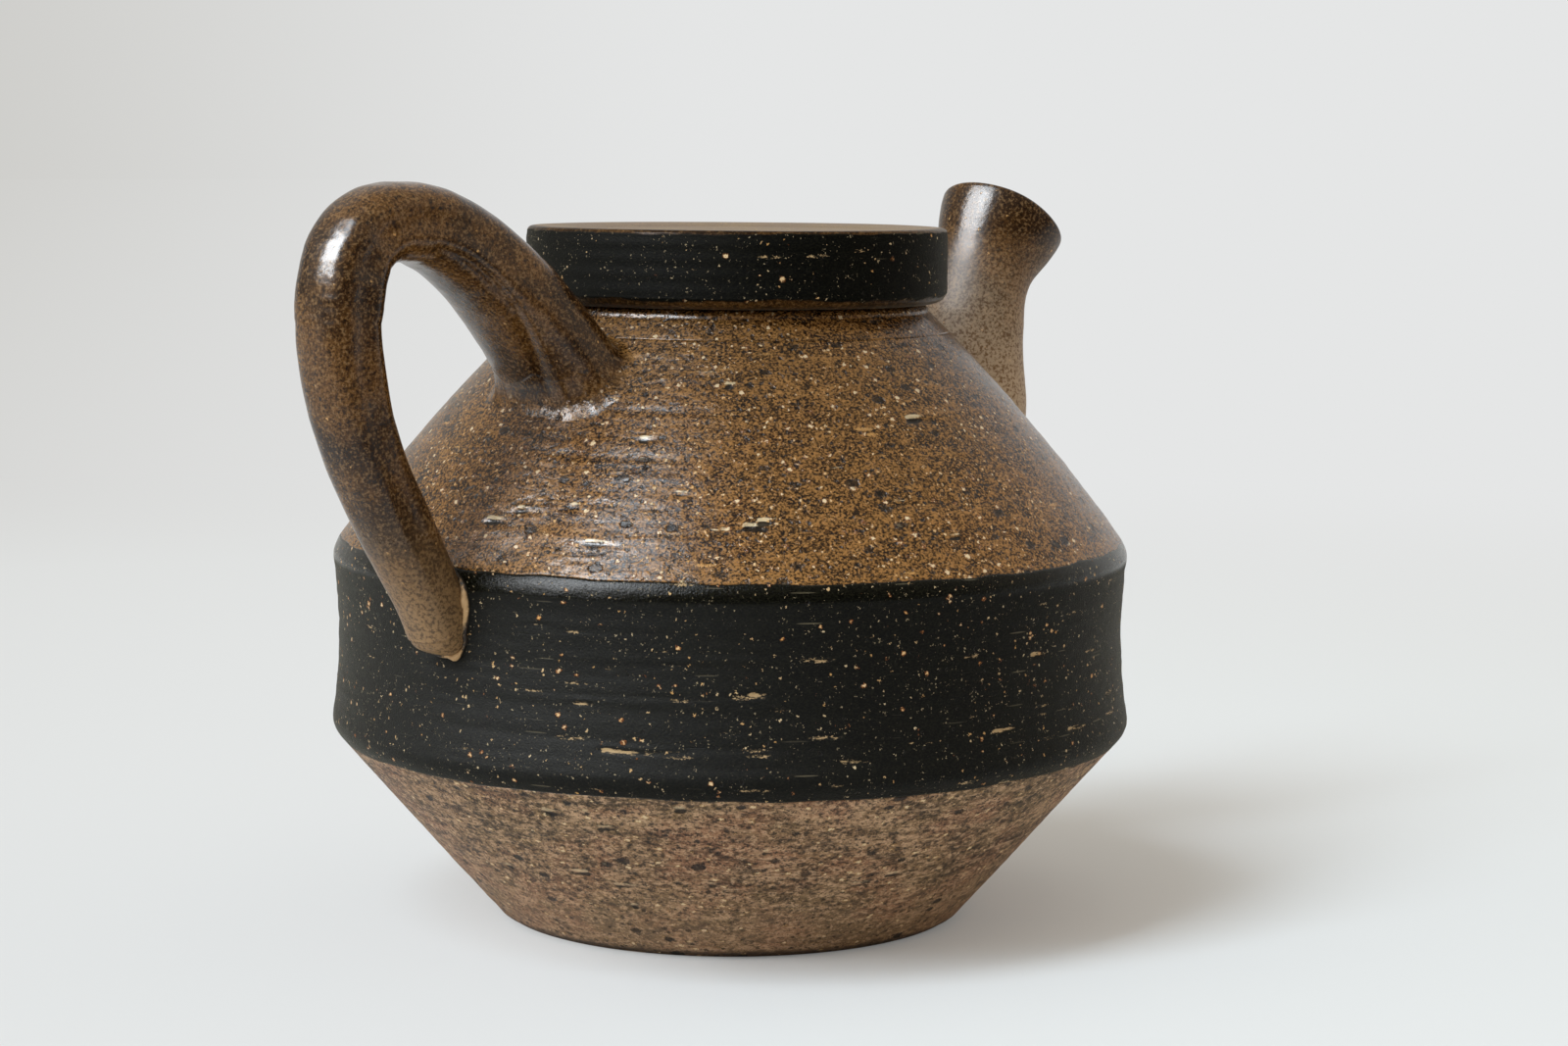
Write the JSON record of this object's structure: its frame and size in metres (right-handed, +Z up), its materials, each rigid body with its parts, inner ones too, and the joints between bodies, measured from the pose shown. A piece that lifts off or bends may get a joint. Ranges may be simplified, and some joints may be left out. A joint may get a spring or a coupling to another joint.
{
  "type": "teapot",
  "caption": "Squat stoneware teapot with a dark slip band between sharp corners, a pulled strap handle, an upright spout and a flat drum lid that lifts off.",
  "frame": {"origin": "centre of the flat underside", "axes": "+Z up, the way the lid lifts; +X from the handle towards the spout; the handle and the spout lie in the plane y = 0"},
  "size_m": [0.21, 0.1596, 0.1467],
  "materials": {
    "black_slip": "satin",
    "shoulder_glaze": "satin",
    "bowl_glaze": "satin",
    "strap_glaze": "gloss"
  },
  "bodies": {
    "pot": {"lower_bowl": "bowl_glaze", "waist_band": "black_slip", "shoulder": "shoulder_glaze", "neck_ring": "shoulder_glaze", "spout": "strap_glaze", "spout_joint": "shoulder_glaze", "handle": "strap_glaze", "handle_upper_joint": "strap_glaze", "handle_lower_joint": "bowl_glaze"},
    "lid": {"lid_disc": "black_slip", "lid_flange": "black_slip"}
  },
  "joints": [
    {"name": "lid_lift", "type": "slide", "parent": "pot", "child": "lid", "axis": [0, 0, 1], "range_m": [0, 0.05]}
  ]
}
